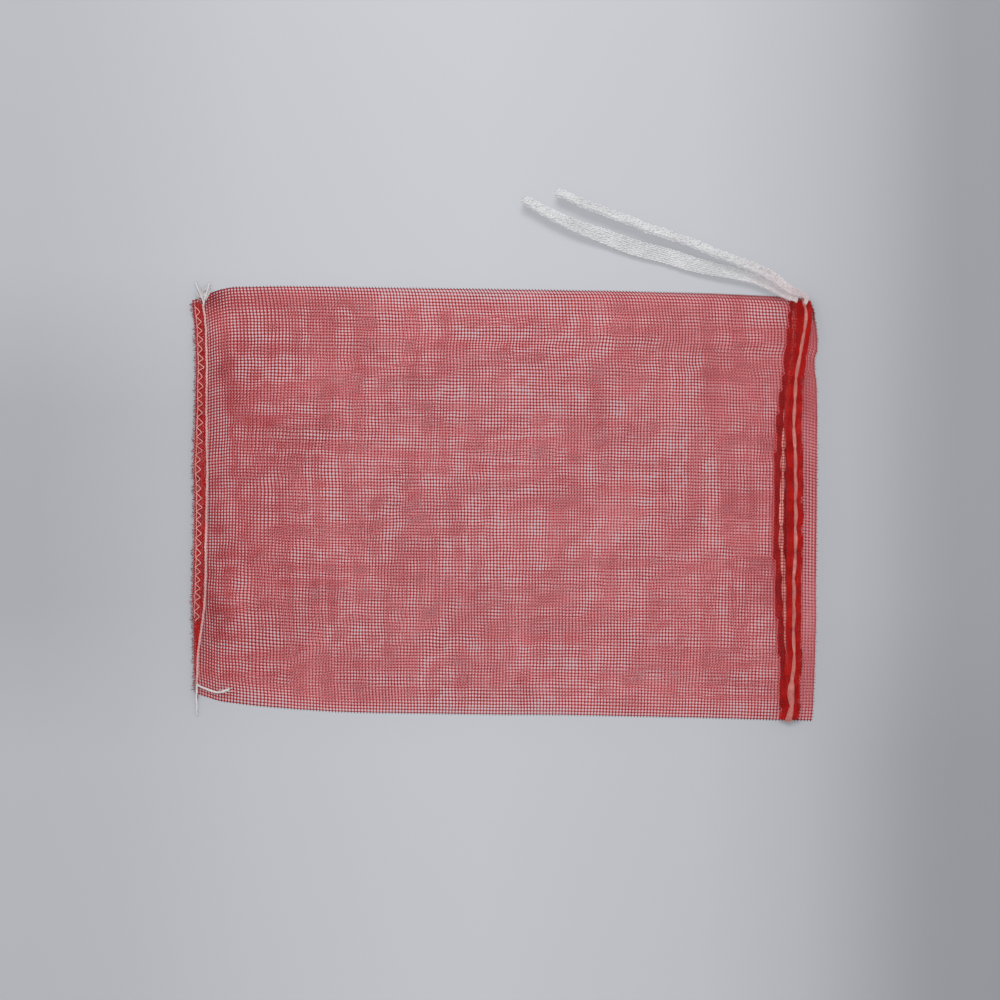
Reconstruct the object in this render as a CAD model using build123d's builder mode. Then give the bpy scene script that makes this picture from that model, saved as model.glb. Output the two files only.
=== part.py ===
from build123d import *
import math
import os

# Drawstring mesh produce bag, lying flat and slightly open on a table.
# Frame: +X towards the open mouth, +Y towards the corner where the drawstring
# comes out, +Z up, the underside at Z = 0, origin under the middle of the bag.
# All lengths in millimetres.

# ---------------------------------------------------------------- dimensions
net_t = 0.7            # thickness of one knitted net layer
gap_top = 6.3          # underside of the front layer where the bag stands open
x_end = -150.6         # cut edge of the sewn, closed end
x_seam = -141.0        # inner side of the seam; the inside of the bag starts here
x_full = -113.0        # the front layer reaches its full height here
x_casing = 130.0       # start of the drawstring casing
x_header = 142.6       # end of the casing and start of the frill
x_rim = 150.6          # rim of the mouth

# half outlines: (x, y of the exit side, y of the far side) of the folded edges
outline = [
    (-150.6, 97.7, -91.4),
    (-141.0, 101.0, -94.2),
    (-113.0, 104.9, -98.2),
    (0.0, 103.2, -102.0),
    (130.0, 99.8, -104.9),
    (142.6, 99.2, -104.9),
    (150.6, 98.4, -104.9),
]
fold_w = 19.0          # width of the sloping strip along each side fold

casing_t = 1.5         # casing: turned-in net, several layers thick
casing_top = 7.5       # top of the front casing
tape_w = 4.8           # drawstring tape as it lies bunched in the casing
tape_t = 0.5
tape_clear = 0.25      # play above and below the tape in its channel
side_clear = 0.3       # play beside the tape
tape_x = 137.5         # middle of the channel
tape_exit = 99.7       # where both runs of the tape leave the casing
bend_y = -98.6         # middle of the bend of the tape at the far side
tail_d = 2.4           # tail of the tape as a round cord of the same section

header_t = 1.0         # frill of two net layers beyond the casing
hem_t = 1.4            # sewn end: front and back layer pressed together

thread_w = 1.5         # chain-stitch thread
thread_t = 0.5
chain_x = -143.6
chain_y = (95.6, -87.2)
zig_pitch = 4.5        # overlock thread
zig_x = (-148.4, -145.8)
zig_y = (95.8, -53.0)
zig_w = 0.7
zig_t = 0.35

front_z = (gap_top, gap_top + net_t)
rib_z_front = (casing_top - casing_t, casing_top)
rib_z_back = (0.0, casing_t)
tape_z_front = rib_z_front[0] + tape_clear          # underside of the front run
tape_z_back = rib_z_back[1] - tape_clear - tape_t   # underside of the back run


def edge(x, side):
    """y of a folded edge at x: side 1 is the exit side, side -1 the far side."""
    k = 1 if side > 0 else 2
    for a, b in zip(outline, outline[1:]):
        if a[0] <= x <= b[0]:
            f = (x - a[0]) / (b[0] - a[0])
            return a[k] + f * (b[k] - a[k])
    raise ValueError(x)


def fold_line(x, side):
    """y where the sloping strip of a side fold meets the flat of the front layer."""
    return edge(x, side) - side * fold_w


def outline_between(xa, xb):
    """Corner points of the bag's outline from xa to xb."""
    xs = [xa] + [o[0] for o in outline if xa < o[0] < xb] + [xb]
    return [(x, edge(x, 1)) for x in xs] + [(x, edge(x, -1)) for x in reversed(xs)]


def yz_plane(x):
    """A plane across the bag at x: its x is the bag's y and its y is the bag's z."""
    return Plane(origin=(x, 0, 0), x_dir=(0, 1, 0), z_dir=(1, 0, 0))


# ------------------------------------------------------------- net, back layer
with BuildPart() as net_back:
    with BuildSketch(Plane.XY):
        with BuildLine():
            Polyline(*outline_between(x_seam, x_casing), close=True)
        make_face()
    extrude(amount=net_t)

# ------------------------------------------- net, front layer: the flat of it
with BuildPart() as net_front:
    with BuildSketch(Plane.XY.offset(front_z[0])):
        with BuildLine():
            Polyline(
                (x_full, fold_line(x_full, 1)),
                (0.0, fold_line(0.0, 1)),
                (x_casing, fold_line(x_casing, 1)),
                (x_casing, fold_line(x_casing, -1)),
                (0.0, fold_line(0.0, -1)),
                (x_full, fold_line(x_full, -1)),
                close=True,
            )
        make_face()
    extrude(amount=net_t)

# ------------- net, front layer: the slope from the seam up to the full height
with BuildPart() as net_front_hem_slope:
    with BuildSketch(yz_plane(x_seam)):
        with BuildLine():
            Polyline(
                (fold_line(x_seam, 1), net_t),
                (fold_line(x_seam, 1), 2 * net_t),
                (fold_line(x_seam, -1), 2 * net_t),
                (fold_line(x_seam, -1), net_t),
                close=True,
            )
        make_face()
    with BuildSketch(yz_plane(x_full)):
        with BuildLine():
            Polyline(
                (fold_line(x_full, 1), front_z[0]),
                (fold_line(x_full, 1), front_z[1]),
                (fold_line(x_full, -1), front_z[1]),
                (fold_line(x_full, -1), front_z[0]),
                close=True,
            )
        make_face()
    loft(ruled=True)


# ---------------------------------- side folds: sloping strips along both sides
def fold_section(x, side, low):
    """Corners of the strip's section at x. low: the strip still lies flat here."""
    e, f = edge(x, side), fold_line(x, side)
    zf = net_t if low else front_z[0]
    return [(e, net_t), (e, 2 * net_t), (f, zf + net_t), (f, zf)]


with BuildPart() as side_fold_exit:
    for x in (x_seam, x_full, 0.0, x_casing):
        with BuildSketch(yz_plane(x)):
            with BuildLine():
                Polyline(*fold_section(x, 1, x == x_seam), close=True)
            make_face()
    loft(ruled=True)

with BuildPart() as side_fold_far:
    for x in (x_seam, x_full, 0.0, x_casing):
        with BuildSketch(yz_plane(x)):
            with BuildLine():
                Polyline(*fold_section(x, -1, x == x_seam), close=True)
            make_face()
    loft(ruled=True)

# ------------------------------------------------------------ sewn, closed end
with BuildPart() as bottom_hem:
    with BuildSketch(Plane.XY):
        with BuildLine():
            Polyline(*outline_between(x_end, x_seam), close=True)
        make_face()
    extrude(amount=hem_t)

with BuildPart() as chain_stitch_thread:
    with BuildSketch(Plane.XY.offset(hem_t)):
        with Locations((chain_x, (chain_y[0] + chain_y[1]) / 2)):
            Rectangle(thread_w, chain_y[0] - chain_y[1])
    extrude(amount=thread_t)
    fillet(chain_stitch_thread.edges().filter_by(Axis.Y).group_by(Axis.Z)[-1], 0.3)

zig_n = int((zig_y[0] - zig_y[1]) / (zig_pitch / 2))
zig = [
    (zig_x[i % 2], zig_y[0] - i * zig_pitch / 2)
    for i in range(zig_n + 1)
]
with BuildPart() as overlock_thread:
    with BuildSketch(Plane.XY.offset(hem_t)):
        with BuildLine():
            Polyline(
                *[(x + zig_w / 2, y) for x, y in zig],
                *[(x - zig_w / 2, y) for x, y in reversed(zig)],
                close=True,
            )
        make_face()
    extrude(amount=zig_t)

# ------------------------------------------------------- casing round the mouth
# Each half is a band of turned-in net with a channel on its inner face, in which
# the drawstring runs. Both ends of the channel towards the exit are open.
y_near = edge(x_header, 1)
y_far = edge(x_header, -1)
groove_w = tape_w + 2 * side_clear
groove_h = tape_t + 2 * tape_clear
casing_mid = (x_casing + x_header) / 2

with BuildPart() as casing_front:
    with BuildSketch(Plane.XY.offset(rib_z_front[0])):
        with Locations((casing_mid, (y_near + y_far) / 2)):
            Rectangle(x_header - x_casing, y_near - y_far)
    extrude(amount=casing_t)
    with BuildSketch(Plane.XY.offset(rib_z_front[0])):
        with Locations((tape_x, (y_near + y_far) / 2)):
            Rectangle(groove_w, y_near - y_far)
    extrude(amount=groove_h, mode=Mode.SUBTRACT)

with BuildPart() as casing_back:
    with BuildSketch(Plane.XY.offset(rib_z_back[0])):
        with Locations((casing_mid, (y_near + y_far) / 2)):
            Rectangle(x_header - x_casing, y_near - y_far)
    extrude(amount=casing_t)
    with BuildSketch(Plane.XY.offset(rib_z_back[1])):
        with Locations((tape_x, (y_near + y_far) / 2)):
            Rectangle(groove_w, y_near - y_far)
    extrude(amount=-groove_h, mode=Mode.SUBTRACT)

# the far end of the casing: the net folds round from the front to the back half
with BuildPart() as casing_far_fold:
    with BuildSketch(Plane.XY.offset(rib_z_back[1])):
        with Locations(((x_casing + x_rim) / 2, y_far + net_t / 2)):
            Rectangle(x_rim - x_casing, net_t)
    extrude(amount=rib_z_front[0] - rib_z_back[1])

# ---------------------------------------------------------- frill at the mouth
with BuildPart() as frill_front:
    with BuildSketch(Plane.XY.offset(rib_z_front[0])):
        with BuildLine():
            Polyline(
                (x_header, y_near),
                (x_rim - 2.0, y_near),
                (x_rim, y_near - 2.5),
                (x_rim, y_far),
                (x_header, y_far),
                close=True,
            )
        make_face()
    extrude(amount=header_t)

with BuildPart() as frill_back:
    with BuildSketch(Plane.XY.offset(rib_z_back[1] - header_t)):
        with BuildLine():
            Polyline(
                (x_header, y_near),
                (x_rim - 2.0, y_near),
                (x_rim, y_near - 2.5),
                (x_rim, y_far),
                (x_header, y_far),
                close=True,
            )
        make_face()
    extrude(amount=header_t)

with BuildPart() as frill_exit_fold:
    with BuildSketch(Plane.XY.offset(rib_z_back[1])):
        with Locations(((x_header + x_rim - 2.0) / 2, y_near - net_t / 2)):
            Rectangle(x_rim - 2.0 - x_header, net_t)
    extrude(amount=rib_z_front[0] - rib_z_back[1])

# ------------------------------------------------------------------ drawstring
with BuildPart() as drawstring_front_run:
    with BuildSketch(Plane.XY.offset(tape_z_front)):
        with Locations((tape_x, (tape_exit + bend_y) / 2)):
            Rectangle(tape_w, tape_exit - bend_y)
    extrude(amount=tape_t)

with BuildPart() as drawstring_back_run:
    with BuildSketch(Plane.XY.offset(tape_z_back)):
        with Locations((tape_x, (tape_exit + bend_y) / 2)):
            Rectangle(tape_w, tape_exit - bend_y)
    extrude(amount=tape_t)

bend_top = tape_z_front + tape_t
bend_r = (bend_top - tape_z_back) / 2
bend_z = (bend_top + tape_z_back) / 2
with BuildPart() as drawstring_far_bend:
    with BuildSketch(yz_plane(tape_x - tape_w / 2)):
        with BuildLine():
            CenterArc((bend_y, bend_z), bend_r, 90, 180)
            Line((bend_y, bend_z - bend_r), (bend_y, bend_z - bend_r + tape_t))
            CenterArc((bend_y, bend_z), bend_r - tape_t, 90, 180)
            Line((bend_y, bend_z + bend_r - tape_t), (bend_y, bend_z + bend_r))
        make_face()
    extrude(amount=tape_w)

# routes of the two loose tails; radii are set by the shorter of the two runs
upper_route = [
    (137.5, tape_exit, 6.5),
    (137.5, 103.6, 6.5),
    (131.8, 108.3, 5.1),
    (122.6, 113.2, 3.2),
    (110.4, 118.2, 1.6),
    (92.0, 123.5, 1.25),
    (70.3, 131.7, 1.25),
    (47.6, 139.9, 1.25),
    (25.8, 149.3, 1.25),
]
lower_route = [
    (137.5, tape_exit, 1.2),
    (137.5, 103.4, 1.2),
    (130.9, 106.7, 1.2),
    (120.0, 108.8, 1.2),
    (104.0, 112.1, 1.2),
    (84.0, 117.4, 1.2),
    (62.0, 122.9, 1.2),
    (40.5, 130.4, 1.2),
    (22.5, 138.9, 1.2),
    (8.8, 146.3, 1.2),
]


def corner_radii(route, name):
    """0.45 of the shorter run over the tangent of half the turn, at each corner."""
    radii = []
    points = [Vector(*p) for p in route]
    for a, b, c in zip(points, points[1:], points[2:]):
        turn = math.radians((b - a).get_angle(c - b))
        radii.append(0.45 * min((b - a).length, (c - b).length) / math.tan(turn / 2))
    print(name, "runs", [round((b - a).length, 1) for a, b in zip(points, points[1:])])
    print(name, "radii", [round(r, 1) for r in radii])
    return radii


with BuildPart() as drawstring_upper_tail:
    with BuildLine() as upper_line:
        FilletPolyline(*upper_route, radius=corner_radii(upper_route, "upper tail"))
    with BuildSketch(
        Plane(origin=upper_route[0], z_dir=Vector(*upper_route[1]) - Vector(*upper_route[0]))
    ):
        Circle(tail_d / 2)
    sweep()

with BuildPart() as drawstring_lower_tail:
    with BuildLine() as lower_line:
        FilletPolyline(*lower_route, radius=corner_radii(lower_route, "lower tail"))
    with BuildSketch(
        Plane(origin=lower_route[0], z_dir=Vector(*lower_route[1]) - Vector(*lower_route[0]))
    ):
        Circle(tail_d / 2)
    sweep()

for label, tail, line in (
    ("upper tail", drawstring_upper_tail, upper_line),
    ("lower tail", drawstring_lower_tail, lower_line),
):
    length = sum(e.length for e in line.line.edges())
    print(
        label, "length", round(length, 2),
        "volume", round(tail.part.volume, 2),
        "section times length", round(math.pi * tail_d**2 / 4 * length, 2),
        "valid", tail.part.is_valid,
    )

# ----------------------------------------------------------------- write files
pieces = {
    "net_back": net_back,
    "net_front": net_front,
    "net_front_hem_slope": net_front_hem_slope,
    "side_fold_exit": side_fold_exit,
    "side_fold_far": side_fold_far,
    "bottom_hem": bottom_hem,
    "chain_stitch_thread": chain_stitch_thread,
    "overlock_thread": overlock_thread,
    "casing_front": casing_front,
    "casing_back": casing_back,
    "casing_far_fold": casing_far_fold,
    "frill_front": frill_front,
    "frill_back": frill_back,
    "frill_exit_fold": frill_exit_fold,
    "drawstring_front_run": drawstring_front_run,
    "drawstring_back_run": drawstring_back_run,
    "drawstring_far_bend": drawstring_far_bend,
    "drawstring_upper_tail": drawstring_upper_tail,
    "drawstring_lower_tail": drawstring_lower_tail,
}
for node, piece in pieces.items():
    piece.part.label = node
    export_step(piece.part, f"parts/{node}.step")
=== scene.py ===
import bpy
import math
import numpy as np
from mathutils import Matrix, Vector


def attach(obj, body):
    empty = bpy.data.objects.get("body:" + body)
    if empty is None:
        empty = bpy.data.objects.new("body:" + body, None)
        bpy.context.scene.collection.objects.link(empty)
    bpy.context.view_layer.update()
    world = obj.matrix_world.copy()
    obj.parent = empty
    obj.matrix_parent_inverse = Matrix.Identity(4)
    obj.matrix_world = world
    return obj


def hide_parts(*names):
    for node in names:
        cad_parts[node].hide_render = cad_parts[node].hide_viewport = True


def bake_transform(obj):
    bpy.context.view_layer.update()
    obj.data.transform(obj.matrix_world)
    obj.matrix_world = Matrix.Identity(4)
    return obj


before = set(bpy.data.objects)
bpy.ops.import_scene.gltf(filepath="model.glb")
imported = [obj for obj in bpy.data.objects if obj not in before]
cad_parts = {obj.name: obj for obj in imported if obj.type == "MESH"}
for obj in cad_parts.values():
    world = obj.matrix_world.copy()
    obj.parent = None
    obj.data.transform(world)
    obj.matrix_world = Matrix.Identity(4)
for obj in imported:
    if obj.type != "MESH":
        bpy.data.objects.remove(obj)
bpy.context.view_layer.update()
MM = 0.001
rng = np.random.default_rng(11)
scene = bpy.context.scene
scene.view_settings.view_transform = "Standard"
scene.view_settings.look = "None"

# ------------------------------------------------------------------- camera
cam_data = bpy.data.cameras.new("camera")
cam_data.lens = 100.0
cam_data.sensor_width = 36.0
cam_data.clip_end = 20.0
cam = bpy.data.objects.new("camera", cam_data)
scene.collection.objects.link(cam)
cam.location = (-0.00226, 0.00168, 1.3363)
cam.rotation_euler = (0.0, 0.0, 0.0)
scene.camera = cam


# ------------------------------------------------------------------ helpers
def curve_of(rows):
    """A function through (at, value) rows, smooth enough for outlines."""
    a = np.array(sorted(rows), float)
    return lambda t: np.interp(t, a[:, 0], a[:, 1])


def smooth_curve(rows, reach=3.0):
    """As curve_of, with its corners rounded over about reach."""
    f = curve_of(rows)
    lo, hi = min(r[0] for r in rows), max(r[0] for r in rows)
    g = np.linspace(lo - 6 * reach, hi + 6 * reach, 1400)
    step = g[1] - g[0]
    v = f(g)
    n = max(1, int(reach / step))
    k = np.hanning(2 * n + 3)[1:-1]
    k /= k.sum()
    pad = len(k) // 2
    vs = np.convolve(np.pad(v, pad, mode="edge"), k, mode="valid")
    return lambda t: np.interp(t, g, vs)


def waves(x, y, seed, scale, n=7):
    """Smooth repeatable unevenness between about -1 and 1, with features of about scale."""
    r = np.random.default_rng(seed)
    out = 0
    for _ in range(n):
        a = r.uniform(0, math.tau)
        k = math.tau / (scale * r.uniform(0.7, 1.7))
        out = out + np.sin((x * math.cos(a) + y * math.sin(a)) * k + r.uniform(0, math.tau))
    return out / (n**0.5 * 1.1)


def waves2(x, y, seed, long_x, long_y, n=6):
    """As waves, with its features stretched to about long_x by long_y."""
    r = np.random.default_rng(seed)
    out = 0
    for _ in range(n):
        kx = math.tau / (long_x * r.uniform(0.7, 1.6)) * r.choice((-1, 1))
        ky = math.tau / (long_y * r.uniform(0.7, 1.6))
        out = out + np.sin(x * kx + y * ky + r.uniform(0, math.tau))
    return out / (n**0.5 * 1.1)


def step01(t):
    t = np.clip(t, 0, 1)
    return t * t * (3 - 2 * t)


def make_mesh(name, verts, quads, mat, smooth=True, tris=None):
    """A mesh object from millimetre arrays; one with more than 30000 faces gets a plain map seen from above."""
    me = bpy.data.meshes.new(name)
    verts = np.asarray(verts, np.float64).reshape(-1, 3) * MM
    quads = np.asarray(quads, np.int64).reshape(-1, 4)
    tris = np.zeros((0, 3), np.int64) if tris is None else np.asarray(tris, np.int64).reshape(-1, 3)
    loops = np.concatenate([quads.ravel(), tris.ravel()])
    totals = np.concatenate([np.full(len(quads), 4), np.full(len(tris), 3)])
    starts = np.concatenate([[0], np.cumsum(totals)[:-1]])
    me.vertices.add(len(verts))
    me.vertices.foreach_set("co", verts.astype(np.float32).ravel())
    me.loops.add(len(loops))
    me.loops.foreach_set("vertex_index", loops.astype(np.int32))
    me.polygons.add(len(totals))
    me.polygons.foreach_set("loop_start", starts.astype(np.int32))
    me.polygons.foreach_set("loop_total", totals.astype(np.int32))
    me.polygons.foreach_set("use_smooth", np.full(len(totals), smooth))
    me.update(calc_edges=True)
    if len(totals) > 30000:
        span = verts.max(0) - verts.min(0)
        flat = (verts[:, :2] - verts.min(0)[:2]) / np.maximum(span[:2], 1e-6) * 0.98 + 0.01
        uv = me.uv_layers.new(name="OFBake")
        uv.data.foreach_set("uv", flat[loops].astype(np.float32).ravel())
    me.validate()
    me.materials.append(mat)
    ob = bpy.data.objects.new(name, me)
    scene.collection.objects.link(ob)
    return ob


def tubes(centres, radii, side, up=None, m=3, flat=1.0):
    """Closed tubes along centres [n, p, 3] with radii [n, p]. side is each tube's fixed sideways direction.
    Returns vertices, quads and cap triangles."""
    c = np.asarray(centres, float)
    n, p, _ = c.shape
    t = np.gradient(c, axis=1)
    t /= np.maximum(np.linalg.norm(t, axis=2, keepdims=True), 1e-9)
    s = np.broadcast_to(np.asarray(side, float), c.shape).copy()
    s -= t * (s * t).sum(2, keepdims=True)
    s /= np.maximum(np.linalg.norm(s, axis=2, keepdims=True), 1e-9)
    u = np.cross(t, s)
    r = np.broadcast_to(np.asarray(radii, float), (n, p))[..., None]
    ang = np.arange(m) * math.tau / m + math.pi / 2
    ring = [c + r * (math.cos(a) * s + flat * math.sin(a) * u) for a in ang]
    v = np.stack(ring, axis=2).reshape(-1, 3)
    base = (np.arange(n)[:, None] * p + np.arange(p - 1)[None]) * m
    quads = []
    for k in range(m):
        k2 = (k + 1) % m
        quads.append(
            np.stack([base + k, base + k2, base + m + k2, base + m + k], axis=2).reshape(-1, 4)
        )
    quads = np.concatenate(quads)
    first = np.arange(n) * p * m
    last = first + (p - 1) * m
    caps = []
    for k in range(1, m - 1):
        caps.append(np.stack([first, first + k + 1, first + k], axis=1))
        caps.append(np.stack([last, last + k, last + k + 1], axis=1))
    return v, quads, np.concatenate(caps)


class Parts:
    """Collects tubes into one mesh. Quads added with second=True take the second material."""

    def __init__(self):
        self.v, self.q, self.t, self.n, self.second = [], [], [], 0, []

    def add(self, v, q, t=None, second=False):
        self.v.append(v)
        self.q.append(q + self.n)
        self.second.append(np.full(len(q), second))
        if t is not None:
            self.t.append(t + self.n)
        self.n += len(v)

    def build(self, name, mat, mat2=None):
        ob = make_mesh(
            name,
            np.concatenate(self.v),
            np.concatenate(self.q),
            mat,
            tris=np.concatenate(self.t) if self.t else None,
        )
        if mat2 is not None:
            ob.data.materials.append(mat2)
            index = np.zeros(len(ob.data.polygons), np.int32)
            second = np.concatenate(self.second)
            index[: len(second)] = second
            ob.data.polygons.foreach_set("material_index", index)
            ob.data.update()
        return ob


def thread(parts, pts, r, m=6, sub=None):
    """One tube along free points [p, 3], with frames carried along it."""
    c = np.asarray(pts, float)
    if sub:
        c = smooth_path(c, sub)
    p = len(c)
    t = np.gradient(c, axis=0)
    t /= np.maximum(np.linalg.norm(t, axis=1, keepdims=True), 1e-9)
    s = np.zeros_like(c)
    ref = np.array([0, 0, 1.0]) if abs(t[0, 2]) < 0.9 else np.array([1.0, 0, 0])
    s[0] = np.cross(t[0], ref)
    s[0] /= np.linalg.norm(s[0])
    for i in range(1, p):
        w = s[i - 1] - t[i] * (s[i - 1] @ t[i])
        s[i] = w / max(np.linalg.norm(w), 1e-9)
    u = np.cross(t, s)
    r = np.broadcast_to(np.asarray(r, float), (p,))[:, None]
    v = np.stack(
        [
            c + r * (math.cos(a) * s + math.sin(a) * u)
            for a in np.arange(m) * math.tau / m
        ],
        axis=1,
    ).reshape(-1, 3)
    base = np.arange(p - 1) * m
    q = np.concatenate(
        [
            np.stack([base + k, base + (k + 1) % m, base + m + (k + 1) % m, base + m + k], axis=1)
            for k in range(m)
        ]
    )
    last = (p - 1) * m
    caps = [[0, k + 1, k] for k in range(1, m - 1)] + [
        [last, last + k, last + k + 1] for k in range(1, m - 1)
    ]
    parts.add(v, q, np.array(caps))


def smooth_path(pts, sub):
    """Catmull-Rom through the points."""
    p = np.asarray(pts, float)
    p = np.vstack([2 * p[0] - p[1], p, 2 * p[-1] - p[-2]])
    out = []
    for a, b, c, d in zip(p, p[1:], p[2:], p[3:]):
        for k in range(sub):
            t = k / sub
            out.append(
                0.5
                * (
                    2 * b
                    + (c - a) * t
                    + (2 * a - 5 * b + 4 * c - d) * t * t
                    + (3 * b - a - 3 * c + d) * t**3
                )
            )
    out.append(p[-2])
    return np.array(out)


# ---------------------------------------------------------------- materials
def node_material(name):
    mat = bpy.data.materials.new(name)
    mat.use_nodes = True
    nt = mat.node_tree
    return mat, nt, nt.nodes["Principled BSDF"]


def noise_of(nt, scale, detail=3.0, where=None):
    n = nt.nodes.new("ShaderNodeTexNoise")
    n.inputs["Scale"].default_value = scale
    n.inputs["Detail"].default_value = detail
    if where is not None:
        nt.links.new(where, n.inputs["Vector"])
    return n


def ramp(nt, source, stops):
    r = nt.nodes.new("ShaderNodeValToRGB")
    r.color_ramp.elements[0].position, r.color_ramp.elements[0].color = stops[0][0], (*stops[0][1], 1)
    r.color_ramp.elements[1].position, r.color_ramp.elements[1].color = stops[-1][0], (*stops[-1][1], 1)
    for at, col in stops[1:-1]:
        e = r.color_ramp.elements.new(at)
        e.color = (*col, 1)
    nt.links.new(source, r.inputs["Fac"])
    return r


def yarn_material(name, dark, mid, light, rough=0.62, sheen=0.0, fine=9000.0, broad=28.0, through=0.0, shine=0.2, blush=False):
    """Spun or filament yarn: broad colour drift, fine fibre bump, rougher where fibres stand out."""
    mat, nt, p = node_material(name)
    geo = nt.nodes.new("ShaderNodeTexCoord")
    b = noise_of(nt, broad, 4.0, geo.outputs["Object"])
    f = noise_of(nt, fine / 6.0, 2.0, geo.outputs["Object"])
    mix = nt.nodes.new("ShaderNodeMath")
    mix.operation = "MULTIPLY_ADD"
    mix.inputs[1].default_value = 0.45
    nt.links.new(f.outputs["Fac"], mix.inputs[0])
    half = nt.nodes.new("ShaderNodeMath")
    half.operation = "MULTIPLY"
    half.inputs[1].default_value = 0.55
    nt.links.new(b.outputs["Fac"], half.inputs[0])
    nt.links.new(half.outputs[0], mix.inputs[2])
    col = ramp(nt, mix.outputs[0], [(0.32, dark), (0.5, mid), (0.68, light)])
    colour = col.outputs["Color"]
    if blush:
        # the tape is tinted pink from x 112 mm to 143 mm, more towards the bag's mouth
        sep = nt.nodes.new("ShaderNodeSeparateXYZ")
        nt.links.new(geo.outputs["Object"], sep.inputs[0])
        near = nt.nodes.new("ShaderNodeMapRange")
        near.inputs["From Min"].default_value = 0.112
        near.inputs["From Max"].default_value = 0.143
        nt.links.new(sep.outputs["X"], near.inputs["Value"])
        tint = nt.nodes.new("ShaderNodeMix")
        tint.data_type = "RGBA"
        tint.blend_type = "MULTIPLY"
        nt.links.new(near.outputs["Result"], tint.inputs["Factor"])
        nt.links.new(colour, tint.inputs["A"])
        tint.inputs["B"].default_value = (1.0, 0.84, 0.84, 1)
        colour = tint.outputs["Result"]
    nt.links.new(colour, p.inputs["Base Color"])
    rr = nt.nodes.new("ShaderNodeMapRange")
    rr.inputs["From Min"].default_value = 0.3
    rr.inputs["From Max"].default_value = 0.7
    rr.inputs["To Min"].default_value = rough - 0.08
    rr.inputs["To Max"].default_value = rough + 0.12
    nt.links.new(f.outputs["Fac"], rr.inputs["Value"])
    nt.links.new(rr.outputs["Result"], p.inputs["Roughness"])
    bump = nt.nodes.new("ShaderNodeBump")
    bump.inputs["Strength"].default_value = 0.35
    bump.inputs["Distance"].default_value = 0.00006
    fb = noise_of(nt, fine, 2.0, geo.outputs["Object"])
    nt.links.new(fb.outputs["Fac"], bump.inputs["Height"])
    nt.links.new(bump.outputs["Normal"], p.inputs["Normal"])
    p.inputs["Sheen Weight"].default_value = sheen
    p.inputs["Sheen Roughness"].default_value = 0.5
    p.inputs["Specular IOR Level"].default_value = shine
    if through:
        # thin yarn lets some light through and colours it
        tr = nt.nodes.new("ShaderNodeBsdfTranslucent")
        nt.links.new(colour, tr.inputs["Color"])
        mx = nt.nodes.new("ShaderNodeMixShader")
        mx.inputs[0].default_value = through
        nt.links.new(p.outputs[0], mx.inputs[1])
        nt.links.new(tr.outputs[0], mx.inputs[2])
        out = next(n for n in nt.nodes if n.type == "OUTPUT_MATERIAL")
        nt.links.new(mx.outputs[0], out.inputs["Surface"])
    return mat


red_net = yarn_material(
    "red_net", (0.18, 0.010, 0.013), (0.25, 0.016, 0.020), (0.33, 0.028, 0.032), 0.5, 0.0, through=0.25
)
fine_net = yarn_material(
    "fine_net", (0.78, 0.175, 0.19), (0.85, 0.23, 0.245), (0.91, 0.29, 0.305), 0.5, 0.0, through=0.3
)
casing_red = yarn_material(
    "casing_red", (0.22, 0.002, 0.001), (0.35, 0.004, 0.003), (0.50, 0.016, 0.011), 0.7, 0.0, broad=150.0, shine=0.1
)
pink_thread = yarn_material(
    "pink_thread", (0.43, 0.21, 0.20), (0.54, 0.295, 0.28), (0.64, 0.39, 0.37), 0.75, 0.1, 7000.0, 60.0
)
grey_thread = yarn_material(
    "grey_thread", (0.42, 0.38, 0.38), (0.52, 0.48, 0.48), (0.62, 0.59, 0.59), 0.8, 0.1, 7000.0, 60.0
)
coral_thread = yarn_material(
    "coral_thread", (0.54, 0.20, 0.18), (0.66, 0.29, 0.26), (0.76, 0.40, 0.37), 0.75, 0.1, 7000.0, 60.0
)
white_tape = yarn_material(
    "white_tape", (0.52, 0.52, 0.525), (0.63, 0.625, 0.63), (0.74, 0.735, 0.735), 0.82, 0.0, 5200.0, 80.0, through=0.15, blush=True
)
# the tape's core, seen in the gaps between the stitches: the same white yarn, painted darker as the shade in those
# gaps
tape_core_painted_shade = yarn_material(
    "tape_core_painted_shade", (0.47, 0.47, 0.48), (0.55, 0.55, 0.56), (0.63, 0.63, 0.63), 0.85, 0.0, 5200.0, 80.0, through=0.15, blush=True
)
# the tape in the casing is the same white tape as the tails, painted salmon as the red-tinted shade it gets under the
# casing's net
salmon_tape = yarn_material(
    "salmon_tape", (0.32, 0.075, 0.065), (0.44, 0.13, 0.11), (0.58, 0.22, 0.19), 0.6, 0.1, 5200.0, 140.0
)

# the back run is painted a paler salmon than the front run
pale_salmon_tape = yarn_material(
    "pale_salmon_tape", (0.52, 0.15, 0.13), (0.68, 0.24, 0.21), (0.82, 0.36, 0.32), 0.6, 0.1, 5200.0, 140.0
)


# --------------------------------------------------- drawstring tails (cords)
# the two routes from part.py, in metres; the first points follow the corner of
# the mouth and the upper tail stands on its edge, so its middle is higher
upper_route = [
    (0.1438, 0.0958, 0.0056),
    (0.1445, 0.0972, 0.0060),
    (0.1444, 0.0988, 0.0066),
    (0.1428, 0.0998, 0.0070),
    (0.1385, 0.1012, 0.0070),
    (0.1340, 0.1040, 0.0062),
    (0.1300, 0.1076, 0.0050),
    (0.1245, 0.1108, 0.0042),
    (0.1180, 0.1138, 0.0041),
    (0.1072, 0.1180, 0.0042),
    (0.0988, 0.1212, 0.0041),
    (0.0920, 0.1239, 0.0040),
    (0.0837, 0.1272, 0.0040),
    (0.0683, 0.1323, 0.0039),
    (0.0534, 0.1380, 0.0039),
    (0.0381, 0.1438, 0.0038),
    (0.0250, 0.1498, 0.0037),
]
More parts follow.
